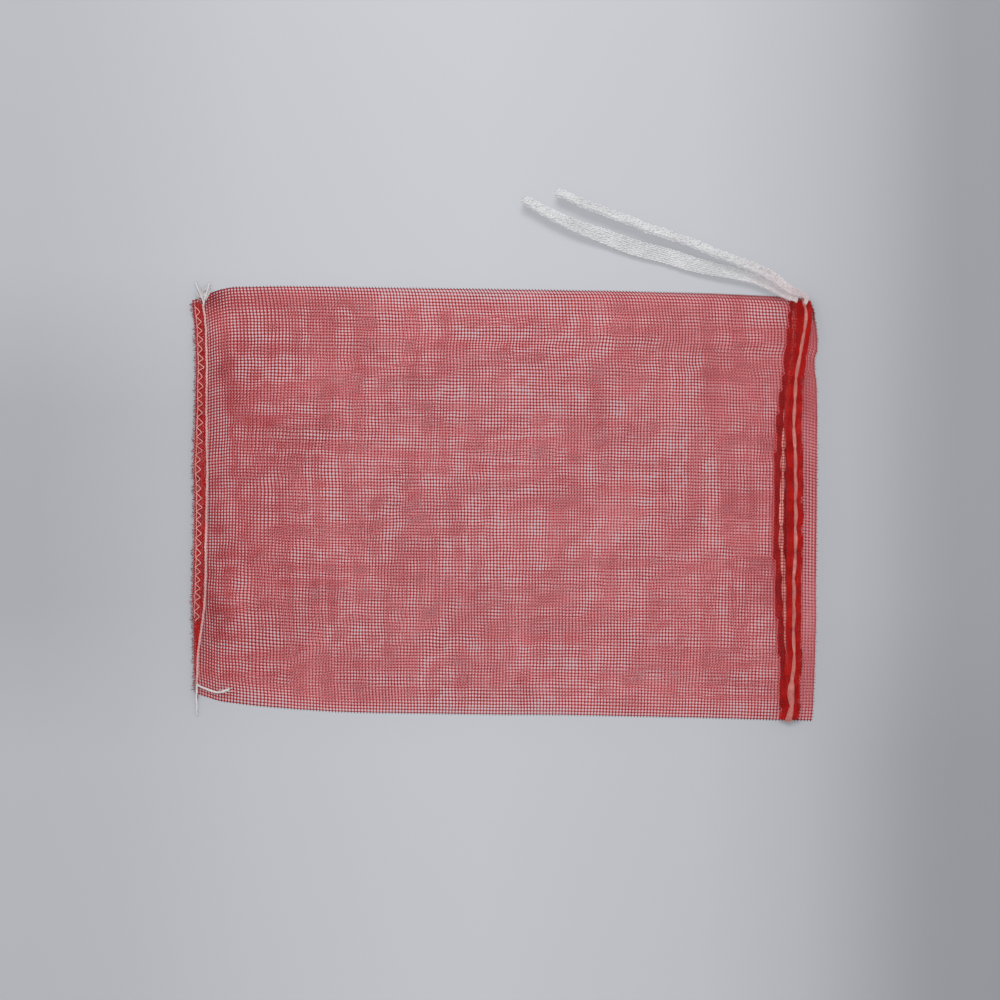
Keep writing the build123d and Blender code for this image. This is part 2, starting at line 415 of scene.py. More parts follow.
lower_route = [
    (0.1405, 0.0980, 0.0060),
    (0.1372, 0.0988, 0.0058),
    (0.1332, 0.1004, 0.0048),
    (0.1295, 0.1028, 0.0034),
    (0.1250, 0.1052, 0.0024),
    (0.1189, 0.1079, 0.0020),
    (0.1100, 0.1104, 0.0019),
    (0.0988, 0.1130, 0.0016),
    (0.0885, 0.1154, 0.0013),
    (0.0784, 0.1188, 0.0012),
    (0.0683, 0.1212, 0.0012),
    (0.0582, 0.1241, 0.0013),
    (0.0481, 0.1279, 0.0016),
    (0.0381, 0.1313, 0.0022),
    (0.0280, 0.1358, 0.0029),
    (0.0179, 0.1409, 0.0033),
    (0.0088, 0.1462, 0.0035),
]
TAPE_W = 8.4


def route_points(name, route, count):
    """Points along the NURBS spline of a route, evenly spaced, in millimetres."""
    cu = bpy.data.curves.new(name, "CURVE")
    cu.dimensions = "3D"
    cu.resolution_u = 40
    sp = cu.splines.new("NURBS")
    sp.points.add(len(route) - 1)
    for pt, co in zip(sp.points, route):
        pt.co = (*co, 1.0)
    sp.order_u = 3
    sp.use_endpoint_u = True
    ob = bpy.data.objects.new(name, cu)
    scene.collection.objects.link(ob)
    bpy.context.view_layer.update()
    me = bpy.data.meshes.new_from_object(ob.evaluated_get(bpy.context.evaluated_depsgraph_get()))
    line = np.array([v.co for v in me.vertices], float)
    bpy.data.objects.remove(ob)
    bpy.data.curves.remove(cu)
    bpy.data.meshes.remove(me)
    d = np.concatenate([[0], np.cumsum(np.linalg.norm(np.diff(line, axis=0), axis=1))])
    at = np.linspace(0, d[-1], count)
    return np.stack([np.interp(at, d, line[:, k]) for k in range(3)], axis=1) / MM, d[-1] / MM


def knit_ribbon(parts, line, twist, width, thick, columns=6, across=36, row=1.25, seed=3, curl=None):
    """A flat knitted tape along line [p, 3] mm. twist: its turn about the line in degrees, 0 flat.
    width [p] mm. Both faces carry a slight uneven relief."""
    c = np.asarray(line, float)
    p = len(c)
    d = np.concatenate([[0], np.cumsum(np.linalg.norm(np.diff(c, axis=0), axis=1))])
    t = np.gradient(c, axis=0)
    t /= np.linalg.norm(t, axis=1, keepdims=True)
    side = np.cross(np.array([0, 0, 1.0]), t)
    side /= np.linalg.norm(side, axis=1, keepdims=True)
    up = np.cross(t, side)
    a = np.radians(twist)[:, None]
    sv = np.cos(a) * side + np.sin(a) * up
    nv = -np.sin(a) * side + np.cos(a) * up
    e = np.linspace(-1, 1, across + 1)
    prof = np.sqrt(np.clip(1 - np.abs(e) ** 5, 0, 1))
    colpos = (e + 1) / 2 * columns
    frac = colpos - np.floor(colpos)
    frac[-1] = 1.0
    env = np.sin(np.pi * np.clip(frac, 0, 1)) ** 0.6
    wob = waves(d[:, None], e[None] * 4, seed, 9.0) * 0.12
    phase = d[:, None] / row + 0.42 * np.abs(2 * frac[None] - 1) + wob
    stitch = (0.5 + 0.5 * np.cos(math.tau * phase)) * env[None]
    relief = 0.04 * waves(d[:, None], e[None] * 4, seed + 5, 2.2)
    w = np.broadcast_to(width, (p,))[:, None] / 2
    edge = 1 + 0.025 * np.sin(math.tau * (d[:, None] / row)) * (np.abs(e[None]) > 0.9)
    lean = 0 if curl is None else np.broadcast_to(curl, (p,))[:, None] * (e[None] ** 2)
    ends = np.ones(p)
    base = c[:, None] + (w * e[None] * edge)[..., None] * sv[:, None]
    top = base + ((thick / 2 * prof[None] + relief * prof[None] * ends[:, None] + lean))[..., None] * nv[:, None]
    bot = base + ((-thick / 2 * prof[None] - relief * prof[None] * 0.9 + lean))[..., None] * nv[:, None]
    k = across + 1
    ring = np.concatenate([top, bot[:, ::-1][:, 1:-1]], axis=1)
    m = ring.shape[1]
    v = ring.reshape(-1, 3)
    i = np.arange(p - 1)[:, None] * m
    j = np.arange(m)[None]
    j2 = (np.arange(m) + 1)[None] % m
    q = np.stack(
        [i + j, i + j2, i + m + j2, i + m + j], axis=2
    ).reshape(-1, 4)
    # ends closed with quads between the two faces
    caps = []
    for base_i, flip in ((0, True), ((p - 1) * m, False)):
        for x in range(1, k - 1):
            a1, a2 = x, x + 1
            b1 = m - x
            b2 = m - x - 1 if x < k - 2 else None
            if b2 is not None:
                f = [base_i + a1, base_i + a2, base_i + b2, base_i + b1]
                caps.append(f[::-1] if not flip else f)
        # the two end corners are closed with triangles
    tri = []
    for base_i, flip in ((0, True), ((p - 1) * m, False)):
        f1 = [base_i + 0, base_i + 1, base_i + m - 1]
        f2 = [base_i + k - 2, base_i + k - 1, base_i + k]
        for f in (f1, f2):
            tri.append(f if flip else f[::-1])
    parts.add(v, np.concatenate([q, np.array(caps)]), np.array(tri), second=True)
    return sv, nv, d


def knit_strands(parts, c, sv, nv, d, width, lay, columns, row, r, seed, faces=(1, -1), m=5, rise=0.24, loose=0.0):
    """Rows of V stitches over a tape: every column is two strands that spread, rise and dive again at each row.
    lay is how far the tape's surface is from its middle."""
    w = np.broadcast_to(width, (len(d),))
    rr = np.random.default_rng(seed)
    for face in faces:
        for k in range(columns):
            mid = (k + 0.5) / columns * 2 - 1
            shift = rr.uniform(-0.12, 0.12)
            for leg in (-1, 1):
                t = d / row + shift + 0.10 * waves(d, 0 * d + 3 * k, seed + k, 14.0)
                t = t + 0.03 * rr.uniform(-1, 1)
                t = t + loose * 0.22 * waves(d, 0 * d + 5 * k + leg, seed + 31 + k, 4.0)
                f = t - np.floor(t)
                spread = (0.16 + 0.74 * f) / columns
                e = mid * 0.97 + leg * spread * 0.86
                bulge = np.sin(np.pi * np.clip(f, 0, 1)) ** 0.6
                edge = 1 - 0.55 * np.abs(mid) ** 4
                uneven = 1 + loose * 0.45 * waves(d, 0 * d + 7 * k + 3 * leg, seed + 61 + k, 3.0)
                h = face * (lay * edge + (rise * bulge - 0.10) * (0.85 + 0.3 * rr.random()) * uneven)
                pts = c + (e * w / 2)[:, None] * sv + h[:, None] * nv
                rad = r * (0.8 + 0.3 * bulge) * np.clip(w / w.max() * 1.1, 0.5, 1)
                parts.add(*tubes(pts[None], rad[None], nv, m=m))


def tape_tail(name, route, twist_rows, width_rows, curl_rows, seed):
    line, length = route_points(name + "_line", route, 620)
    f = np.linspace(0, 1, len(line))
    twist = smooth_curve(twist_rows, 0.06)(f)
    width = smooth_curve(width_rows, 0.04)(f)
    curl = smooth_curve(curl_rows, 0.05)(f)
    # a soft wander, so that the edges aren't ruled
    side_wander = 0.25 * waves(f * 140, 0 * f, seed + 40, 22.0)
    line2 = line.copy()
    line2[:, 2] += 0.0
    line2[:, 1] += side_wander
    parts = Parts()
    sv, nv, d = knit_ribbon(parts, line2, twist, width, 0.42, curl=0 * curl, seed=seed, across=12)
    knit_strands(parts, line2, sv, nv, d, width, 0.22, 4, 1.95, 0.35, seed, rise=0.52, loose=1.6)
    # a few loose fibres at the cut end
    r = np.random.default_rng(seed)
    tip, t = line2[-1], line2[-1] - line2[-4]
    t = t / np.linalg.norm(t)
    for i in range(15):
        e = r.uniform(-0.95, 0.95)
        a = tip + sv[-1] * e * width[-1] / 2 - t * 0.6
        b = a + t * r.uniform(0.9, 1.7) + sv[-1] * r.uniform(-0.3, 0.3) + nv[-1] * r.uniform(-0.15, 0.25)
        g = b + t * r.uniform(0.2, 0.9) + sv[-1] * r.uniform(-0.5, 0.5) + nv[-1] * r.uniform(-0.2, 0.3)
        for q in (b, g):
            q[2] = max(q[2], 0.3)
        thread(parts, [a, b, g], 0.11, m=4, sub=3)
    # the core between the stitches takes the second material, painted darker as the shade in the gaps
    return parts.build(name, white_tape, tape_core_painted_shade), line2, length


upper_tail, upper_line, upper_len = tape_tail(
    "drawstring_tail_upper",
    upper_route,
    [(0, 0), (0.03, 8), (0.08, 32), (0.16, 46), (0.28, 57), (0.45, 60), (0.7, 58), (0.9, 60), (1, 62)],
    [(0, 1.5), (0.03, 2.2), (0.06, 3.6), (0.09, 4.8), (0.14, 6.3), (0.22, 7.8), (1, 7.8)],
    [(0, 0.3), (0.3, 0.5), (0.7, 0.4), (1, 0.2)],
    21,
)
lower_tail, lower_line, lower_len = tape_tail(
    "drawstring_tail_lower",
    lower_route,
    [(0, 20), (0.1, 28), (0.2, 26), (0.32, 12), (0.45, 6), (0.62, 8), (0.75, 26), (0.86, 46), (1, 58)],
    [(0, 3.2), (0.07, 3.9), (0.14, 5.0), (0.22, 6.2), (0.32, 7.6), (0.45, 8.2), (0.6, 8.4), (1, 7.6)],
    [(0, 0.2), (0.4, 0.25), (1, 0.3)],
    22,
)

# ------------------------------------------------------------- bag outline
exit_edge = smooth_curve(
    [(-151, 97.4), (-144.3, 99.6), (-137.6, 102.5), (-129.9, 104.2), (-106.9, 104.7), (-84.3, 104.5),
     (-40.7, 103.8), (-2.3, 103.3), (48.1, 102.4), (98.5, 101.2), (133.1, 99.6), (141.7, 99.0), (146.5, 98.0), (151, 95.5)], 3.0)
far_edge = smooth_curve(
    [(-151, -90.6), (-147.7, -91.6), (-136.2, -95.2), (-117.9, -97.6), (-99.2, -99.3), (-81, -100.5), (-64.7, -101),
     (-2.3, -101.9), (26.5, -102.0), (93.7, -103.3), (136.9, -104.6), (147.5, -104.7), (151, -104.2)], 3.0)
hem_edge = smooth_curve(
    [(98, -150.2), (86.6, -149.0), (75.6, -148.4), (64.6, -148.3), (31.4, -148.9), (16.6, -149.7), (1.7, -149.1),
     (-19.9, -149.3), (-42, -149.7), (-51.6, -150.3), (-58.8, -149.7), (-71.3, -149.3), (-87.1, -149.3), (-95, -148.6)], 2.0)
rim_edge = smooth_curve(
    [(100.4, 143.5), (99.2, 146.3), (97.6, 148.0), (95, 148.9), (89.5, 149.4), (82.3, 150.3), (77, 150.1), (72.7, 148.8), (67.4, 148.8), (61.7, 149.8),
     (44.9, 150.1), (0, 149.9), (-36.7, 149.5), (-51.6, 149.6), (-70.8, 149.0), (-92.9, 148.2), (-104, 147.4)], 2.0)
front_strip = smooth_curve(
    [(99.5, 143.0), (96.9, 143.5), (92.6, 144.5), (89, 144.5), (82.8, 143.6), (76.6, 142.4), (71.5, 141.6), (66, 140.5), (60.2, 139.5),
     (49.2, 139.0), (37.2, 138.4), (25.7, 139.1), (19.4, 139.4), (14.2, 139.1), (8.4, 139.6), (1.2, 139.1), (-5.5, 139.6),
     (-11.3, 139.1), (-17, 139.4), (-23.3, 139.2), (-31.4, 138.8), (-36.2, 138.2), (-41.5, 138.7), (-48, 138.4), (-53, 138.7),
     (-59.8, 138.2), (-66, 138.4), (-72, 138.7), (-79, 138.4), (-84.7, 137.5), (-91.4, 137.0), (-97.2, 137.6), (-104.4, 136.2)], 2.2)
back_strip = smooth_curve(
    [(97, 139.6), (80, 139.0), (60, 137.2), (45, 135.4), (28.6, 134.1), (19.4, 133.8), (9.8, 133.7), (-1, 133.0), (-11.8, 132.9), (-19.4, 132.9),
     (-27.1, 133.6), (-34.8, 134.1), (-48, 134.5), (-58.8, 135.1), (-68.4, 135.7), (-85, 136.2), (-104, 136.4)], 4.0)
pinches = np.array([99.0, 93.8, 82.8, 71.5, 59.6, 49.2, 37.2, 25.7, 14.2, 1.2, -11.3, -23.3, -35.8, -48, -59.8, -72, -84.7, -97.2, -109.5])


def lens_width(y, wide=2.1, narrow=0.8):
    """The tape's seen width at y: wide between two pinches and narrow at each."""
    order = np.sort(pinches)
    i = np.clip(np.searchsorted(order, y) - 1, 0, len(order) - 2)
    f = np.clip((y - order[i]) / (order[i + 1] - order[i]), 0, 1)
    lens = np.sin(np.pi * f) ** 0.55
    return narrow + (wide - narrow) * lens


# ------------------------------------------------- how the two layers lie
MOUTH_LIFT = 4.3


def back_z(x, y):
    return 0.42 + 0.10 * (1 + waves(x, y, 301, 70.0))


def lift(x, y):
    """Height of the front layer over the back one, before the side folds close it."""
    seam = step01((x + 143.5) / 34.0)
    body = 4.1 + 0.75 * waves(x, y, 302, 85.0) + 0.22 * waves(x, y, 303, 34.0)
    mouth = MOUTH_LIFT + 0.25 * waves(x, y, 304, 60.0)
    near = step01((x - 96) / 34.0)
    return 0.75 + seam * ((1 - near) * body + near * mouth)


def closing(x, y):
    """1 in the middle of the width and 0 on both side folds."""
    top, bot = exit_edge(x), far_edge(x)
    eta = np.abs((y - (top + bot) / 2) / ((top - bot) / 2))
    power = 3.0 + 7.0 * step01((x - 90) / 35.0)
    return np.sqrt(np.clip(1 - np.clip(eta, 0, 1) ** power, 0, 1))


def front_z(x, y):
    c = closing(x, y)
    return back_z(x, y) + 0.28 + (lift(x, y) - 0.28) * c


# ---------------------------------------------------------------- the net
WALES, COURSES = 134, 196
u_lines = (np.arange(COURSES) + 0.5) / COURSES


def net_point(u, v, front, seed):
    """Where the net's point (u along the bag, v across it) lies, in mm."""
    y0 = -100 + 200 * v
    x = hem_edge(y0) + (rim_edge(y0) - hem_edge(y0)) * u
    bot, top = far_edge(x), exit_edge(x)
    y = bot + (top - bot) * v
    inner = np.clip(np.minimum(v, 1 - v) * 14, 0, 1) * np.clip(np.minimum(u, 1 - u) * 20, 0, 1)
    drift = 0.90 if front else 0.76
    # close weave towards the seam, where the layers are gathered by the stitches
    x = x - 2.2 * np.exp(-((x + 128) / 16.0) ** 2)
    dx = drift * (
        0.50 * waves2(x, y, seed + 1, 60.0, 170.0) + 0.26 * waves2(x, y, seed + 2, 17.0, 90.0)
        + 0.16 * waves2(x, y, seed + 7, 26.0, 14.0) + 0.04 * waves(x, y, seed + 5, 6.0)
    )
    dy = drift * (
        0.50 * waves2(x, y, seed + 3, 170.0, 60.0) + 0.34 * waves2(x, y, seed + 4, 120.0, 13.0)
        + 0.16 * waves2(x, y, seed + 8, 14.0, 24.0) + 0.04 * waves(x, y, seed + 6, 6.0)
    )
    x = x + dx * inner
    y = np.clip(y + dy * inner, far_edge(x), exit_edge(x))
    return x, y


# how far the dense casing reaches on each side of its tape, at y
front_left = smooth_curve([(99, 4.4), (90, 5.6), (80, 5.8), (70, 5.0), (55, 4.2), (30, 3.5), (-40, 3.1), (-70, 2.9), (-84, 3.9), (-104, 3.7)], 4.0)
front_right = smooth_curve([(99, 3.0), (90, 2.2), (75, 2.6), (60, 3.1), (40, 3.0), (-60, 2.9), (-85, 3.4), (-104, 3.8)], 4.0)
back_left = smooth_curve([(99, 2.2), (80, 3.2), (60, 3.6), (40, 4.0), (-60, 4.2), (-104, 3.6)], 4.0)
back_right = smooth_curve([(99, 4.0), (-104, 4.0)], 4.0)


def fullness(x, y, most):
    """How much fuller the yarn is than in the middle of the bag: gathered by the seam, most where it is folded."""
    folds = 0.22 + 0.46 * np.exp(-(((y + 60) / 28.0) ** 2)) + 0.75 * np.exp(-(((y - 99) / 6.0) ** 2)) + 0.15 * waves(x, y, 811, 16.0)
    wide = most * np.exp(-(((x + 143) / 40.0) ** 2)) + 0.07 * np.exp(-(((x - 125) / 30.0) ** 2))
    wide = wide + 0.07 * np.exp(-(((x + 120) / 60.0) ** 2) - ((y - 50) / 70.0) ** 2) + 0.04 * np.exp(-(((y - 90) / 30.0) ** 2))
    frill = 0.16 * step01((x - 137.0) / 3.0) * step01((-15.0 - y) / 30.0)
    return 1 + wide - frill + folds * np.exp(-(((x + 141) / 9.0) ** 2))


def filament_runs(points):
    """The runs of each filament in points [k, j, 3] that lie clear of the dense casing, as groups of one length."""
    x, y = points[..., 0], points[..., 1]
    low = np.minimum(front_strip(y) - front_left(y), back_strip(y) - back_left(y)) + 0.4
    high = np.maximum(front_strip(y) + front_right(y), back_strip(y) + back_right(y)) - 0.2
    first = (x < low).sum(axis=1)
    last = (x > high).sum(axis=1)
    runs = [points[first == n, :n] for n in np.unique(first) if n > 2]
    return runs + [points[last == n, points.shape[1] - n:] for n in np.unique(last) if n > 2]


def net_layer(front, seed):
    """The two families of yarn of one layer, as arrays of tube centres."""
    sub = 2
    # courses: across the bag
    v = np.linspace(0, 1, WALES * sub + 1)
    # closer steps at both folds, where the yarn turns down to the other layer
    k = np.concatenate([[0, 0.12, 0.3, 0.6], np.arange(1, WALES * sub), [WALES * sub - 0.6, WALES * sub - 0.3, WALES * sub - 0.12, WALES * sub]])
    v = k / (WALES * sub)
    uu, vv = np.meshgrid(u_lines, v, indexing="ij")
    x, y = net_point(uu, vv, front, seed)
    over = np.cos(np.pi * (vv * WALES - 0.5)) * np.where(np.arange(COURSES)[:, None] % 2, 1, -1)
    if front:
        z = front_z(x, y)
    else:
        z = back_z(x, y)
    # the yarn's rise and fall over the crossings fades out at the folds
    z = z + 0.055 * over * np.clip(np.minimum(vv, 1 - vv) * 60, 0, 1)
    c = np.stack([x, y, z], axis=2)
    knot = np.abs(np.cos(np.pi * (vv * WALES - 0.5)))
    full = fullness(x, y, 0.46)
    r = (0.155 + 0.060 * knot + 0.014 * waves(x, y, seed + 9, 30.0)) * full
    r[-1] *= 1.35
    courses = (c, r)
    # wales: along the bag, each one's ends a little uneven
    vl = (np.arange(WALES) + 0.5) / WALES
    u = np.linspace(0, 1, COURSES + 1)
    vv, uu = np.meshgrid(vl, u, indexing="ij")
    rr = np.random.default_rng(seed + 77)
    hem_cut = rr.uniform(0.0015, 0.0060, WALES)[:, None]
    rim_cut = rr.uniform(-0.0010, 0.0016, WALES)[:, None]
    uu = uu + hem_cut * np.clip(1 - uu * 60, 0, 1) + rim_cut * np.clip(1 - (1 - uu) * 60, 0, 1)
    x, y = net_point(uu, vv, front, seed)
    z = front_z(x, y) if front else back_z(x, y)
    c = np.stack([x, y, z], axis=2)
    full = fullness(x, y, 0.40)
    r = (0.185 + 0.014 * waves(x, y, seed + 10, 30.0)) * full
    wales = (c, r)
    # the fine filaments that lace each two wales together, to and fro at every course
    lace = []
    for side in (0, 1):
        k = np.arange(WALES - 1)[:, None]
        j = np.arange(COURSES + 1)[None]
        vv = (k + 0.5 + (j + k + side) % 2) / WALES
        uu = np.broadcast_to(np.clip(j / COURSES, 0.001, 0.999), vv.shape)
        x, y = net_point(uu, vv, front, seed)
        z = (front_z(x, y) if front else back_z(x, y)) - 0.06 + 0.03 * side
        lace.append(np.stack([x, y, z], axis=2))
    return courses, wales, filament_runs(np.concatenate(lace))


def net_pieces(name, front, seed):
    (cc, cr), (wc, wr), lace = net_layer(front, seed)
    made = []
    half = COURSES // 2
    for tag, courses, cells in (
        ("hem_half", slice(0, half), slice(0, half + 1)),
        ("mouth_half", slice(half, COURSES), slice(half, COURSES + 1)),
    ):
        parts = Parts()
        # the yarns' ends stay open: they run on into the folds, the hem and the other half
        parts.add(*tubes(cc[courses], cr[courses], (1, 0, 0), m=3)[:2])
        parts.add(*tubes(wc[:, cells], wr[:, cells], (0, 1, 0), m=3)[:2])
        made.append(parts.build(f"{name}_{tag}", red_net))
    parts = Parts()
    for run in lace:
        # fuller towards the seam, the casing and the exit side
        x, y = run[..., 0], run[..., 1]
        r = 0.195 * (1 + 0.01 * np.exp(-(((x + 143) / 42.0) ** 2)) + 0.26 * np.exp(-(((x + 143) / 14.0) ** 2)) + 0.06 * np.exp(-(((x - 120) / 30.0) ** 2)) + 0.06 * np.exp(-(((y - 92) / 34.0) ** 2)))
        parts.add(*tubes(run, r, (0, 0, -1), m=3)[:2])
    made.append(parts.build(f"{name}_filaments", fine_net))
    return made


front_net = net_pieces("net_front", True, 500)
back_net = net_pieces("net_back", False, 900)


# ------------------------------------- casing: dense knitted chains, both halves
def chain(parts, ys, xc, zc, r=0.23, pitch=1.15, sway=0.20, m=5, phase=0.0):
    """A column of knitted chain stitches along Y."""
    s = ys / pitch * math.tau + phase
    c = np.stack([xc + sway * np.sin(s), ys, zc + 0.10 * np.cos(2 * s)], axis=1)
    parts.add(*tubes(c[None], np.full((1, len(ys)), r), (1, 0, 0), m=m))


def band(name, strip, zf, y_lo, y_hi, left, right, seed):
    """The dense chains on both sides of a run of tape. left and right give how far each side reaches at y."""
    parts = Parts()
    ys = np.arange(y_lo, y_hi, 0.26)
    half = lens_width(ys) / 2
    for sgn, reach in ((-1, left), (1, right)):
        far = reach(ys)
        n = 9
        for i in range(n):
            f = i / (n - 1)
            off = half * 0.86 + 0.22 + (far + 0.5 - half * 0.86 - 0.22) * f**1.22
            x = strip(ys) + sgn * off + 0.05 * waves(ys, 0 * ys + i * 7, seed + i, 14.0)
            z = zf(x, ys) + 0.10 - 0.22 * f + 0.16 * waves(ys, x * 1.5, seed + 30, 7.0)
            chain(parts, ys, x, z, r=0.25 + 0.02 * waves(ys, 0 * ys, seed + i, 8.0).mean(), phase=i * 1.9)
    return parts.build(name, casing_red)




def back_band_z(x, y):
    return back_z(x, y) + 0.45


def clear_of_fold(y_lo, y_hi):
    return y_lo, y_hi


casing_front = band("casing_front_band", front_strip, front_z, -103.6, 97.6, front_left, front_right, 40)
casing_back = band("casing_back_band", back_strip, back_band_z, -103.4, 97.4, back_left, back_right, 60)


# ----------------------------------------------- the tape inside the casing
def tape_run(name, strip, zf, y_lo, y_hi, above, wide, mat, seed):
    """The bunched tape in its channel: a domed ribbon, wide between pinches."""
    ys = np.arange(y_lo, y_hi, 0.22)
    w = lens_width(ys, wide) * (1 + 0.08 * waves(ys, 0 * ys, seed, 11.0))
    # wider where it lies open near the far fold
    w = w * (1 + 0.75 * step01((-78 - ys) / 10.0)) if "front" in name else w
    e = np.linspace(-1, 1, 13)
    x = strip(ys)[:, None] + (w / 2)[:, None] * e[None]
    dome = np.sqrt(np.clip(1 - e**2, 0, 1))[None]
    ridge = 0.05 * np.sin(e * 5.0)[None] + 0.03 * waves(ys[:, None], e[None] * 2, seed + 3, 5.0)
    zc = (zf(strip(ys), ys) + above)[:, None]
    thick = 0.42 * (0.65 + 0.35 * (w / w.max()))[:, None]
    top = np.stack([x, ys[:, None] + 0 * x, zc + thick * dome + ridge * dome], axis=2)
    bot = np.stack([x, ys[:, None] + 0 * x, zc - thick * dome * 0.8], axis=2)
    ring = np.concatenate([top, bot[:, ::-1][:, 1:-1]], axis=1)
    p, m = ring.shape[:2]
    i = np.arange(p - 1)[:, None] * m
    j = np.arange(m)[None]
    j2 = (j + 1) % m
    q = np.stack([i + j2, i + j, i + m + j, i + m + j2], axis=2).reshape(-1, 4)
    k = len(e)
    caps, tri = [], []
    for b, flip in ((0, False), ((p - 1) * m, True)):
        for a in range(1, k - 2):
            f = [b + a, b + a + 1, b + m - a - 1, b + m - a]
            caps.append(f[::-1] if flip else f)
        for f in ([b, b + 1, b + m - 1], [b + k - 2, b + k - 1, b + k]):
            tri.append(f[::-1] if flip else f)
    parts = Parts()
    parts.add(ring.reshape(-1, 3), np.concatenate([q, np.array(caps)]), np.array(tri))
    line = np.stack([strip(ys), ys, zc[:, 0]], axis=1)
    sv = np.tile((1.0, 0, 0), (len(ys), 1))
    nv = np.tile((0, 0, 1.0), (len(ys), 1))
    knit_strands(parts, line, sv, nv, ys - ys[0], w * 0.92, 0.30, 3, 1.4, 0.15, seed, faces=(1,), rise=0.12)
    return parts.build(name, mat)


run_front = tape_run("drawstring_run_front", front_strip, front_z, -104.0, 99.2, 0.42, 1.8, salmon_tape, 71)
run_back = tape_run("drawstring_run_back", back_strip, back_band_z, -103.4, 97.2, 0.42, 2.5, pale_salmon_tape, 72)

# the tape's far end, round the side fold inside the casing
bend = Parts()
fx, bx = float(front_strip(-104.0)), float(back_strip(-103.4))
fz = float(front_z(fx, -103.0))
line = smooth_path(
    [
        (fx, -102.8, max(fz, 3.0) + 0.3),
        (fx, -104.2, max(fz, 3.0) * 0.85),
        (0.5 * fx + 0.5 * bx, -104.5, 2.2),
        (bx, -104.2, 1.3),
        (bx, -102.6, 1.15),
    ],
    10,
)
n = len(line)
e = np.linspace(0, math.tau, 13)[:-1]
ring = line[:, None] + np.stack([1.6 * np.cos(e), 0.28 * np.sin(e), 0 * e], axis=1)[None]
i = np.arange(n - 1)[:, None] * 12
j = np.arange(12)[None]
q = np.stack([i + j, i + (j + 1) % 12, i + 12 + (j + 1) % 12, i + 12 + j], axis=2).reshape(-1, 4)
caps = [[0, k + 1, k] for k in range(1, 11)] + [[(n - 1) * 12, (n - 1) * 12 + k, (n - 1) * 12 + k + 1] for k in range(1, 11)]
bend.add(ring.reshape(-1, 3), q, np.array(caps))
far_bend = bend.build("drawstring_far_loop", salmon_tape)

# ------------------------------------------------------------- sewn end
hem = Parts()
ys = np.arange(-93.5, 96.5, 0.3)
seam_x = smooth_curve(
    [(95.5, -144.8), (87.6, -143.8), (79.4, -143.4), (64.6, -143.1), (49.7, -143.2), (35.8, -143.2), (14.2, -142.9), (-2.6, -143.2),
     (-19.9, -143.6), (-31.9, -143.7), (-42, -143.8), (-51.6, -144.5), (-58.8, -145.5), (-66.5, -146.6), (-73.7, -147.5), (-80.9, -147.8), (-95, -148.0)], 3.0)
for i in range(9):
    f = i / 8
    x = hem_edge(ys) + 1.0 + (seam_x(ys) - 0.2 - hem_edge(ys) - 1.0) * f + 0.08 * waves(ys, 0 * ys + 9 * i, 130 + i, 10.0)
    z = front_z(x, ys) - 0.10 + 0.12 * waves(ys, 0 * ys + 3 * i, 150 + i, 7.0)
    chain(hem, ys, x, z, r=0.30, pitch=1.5, phase=i * 2.3)
hem_net = hem.build("hem_gathered_net", casing_red)

# the cut net beyond the stitches: short uneven yarn ends
fringe = Parts()
fr = np.random.default_rng(5)
for y in np.arange(-90, 96.5, 0.42):
    a = np.array([hem_edge(y) + fr.uniform(0.2, 1.2), y, fr.uniform(0.45, 1.25)])
    out = fr.uniform(0.7, 1.9)
    b = a + np.array([-out * 0.6, fr.uniform(-0.4, 0.4), fr.uniform(-0.2, 0.25)])
    c = b + np.array([-out * 0.5, fr.uniform(-0.6, 0.6), fr.uniform(-0.3, 0.25)])
    for p in (b, c):
        p[2] = max(p[2], 0.25)
        p[0] = max(p[0], -151.6)
    thread(fringe, [a, b, c], 0.115, m=4, sub=3)
hem_fringe = fringe.build("hem_cut_fringe", red_net)


def on_top(x, y, over=0.0):
    return front_z(x, y) + over


# chain stitch: two plies that lock every stitch, with its loose tails
chain_parts = Parts()
ys = np.arange(-87.4, 95.9, 0.2)
for ply in (0, 1):
    s = ys / 3.1 * math.tau + ply * math.pi
    x = seam_x(ys) + 0.27 * np.sin(s) + 0.10 * waves(ys, 0 * ys, 170, 7.0)
    z = on_top(x, ys, 0.58) + 0.20 * np.cos(s)
    thread(chain_parts, np.stack([x, ys, z], axis=1), 0.34 + 0.04 * np.sin(2 * s), m=7)
tail_parts = Parts()
sx = float(seam_x(-87.4))
thread(
    tail_parts,
    [(sx, -86.8, 1.9), (sx - 0.1, -90.5, 1.5), (-148.2, -94.0, 0.9), (-148.0, -97.5, 0.55), (-148.1, -100.2, 0.42), (-147.7, -101.8, 0.35)],
    np.linspace(0.55, 0.30, 41), m=7, sub=8,
)
thread(
    tail_parts,
    [(sx + 0.2, -86.9, 2.0), (-146.0, -88.0, 2.1), (-143.9, -88.8, 2.1), (-140.2, -90.2, 2.2), (-137.3, -90.7, 2.3), (-134.6, -90.0, 2.4), (-132.4, -89.3, 2.4)],
    0.50, m=7, sub=8,
)
for dx, dy, far in ((-4.0, 8.4, 3.2), (2.6, 8.0, 3.0)):
    base = np.array([float(seam_x(95.4)) + 0.1, 95.4, on_top(-144.6, 95.4, 0.6)])
    thread(
        tail_parts,
        [base, base + (dx * 0.15, dy * 0.35, 0.1), base + (dx * 0.55, dy * 0.75, -0.5), base + (dx, dy * 1.3, -0.9)],
        0.34, m=6, sub=8,
    )
fz_rng = np.random.default_rng(9)
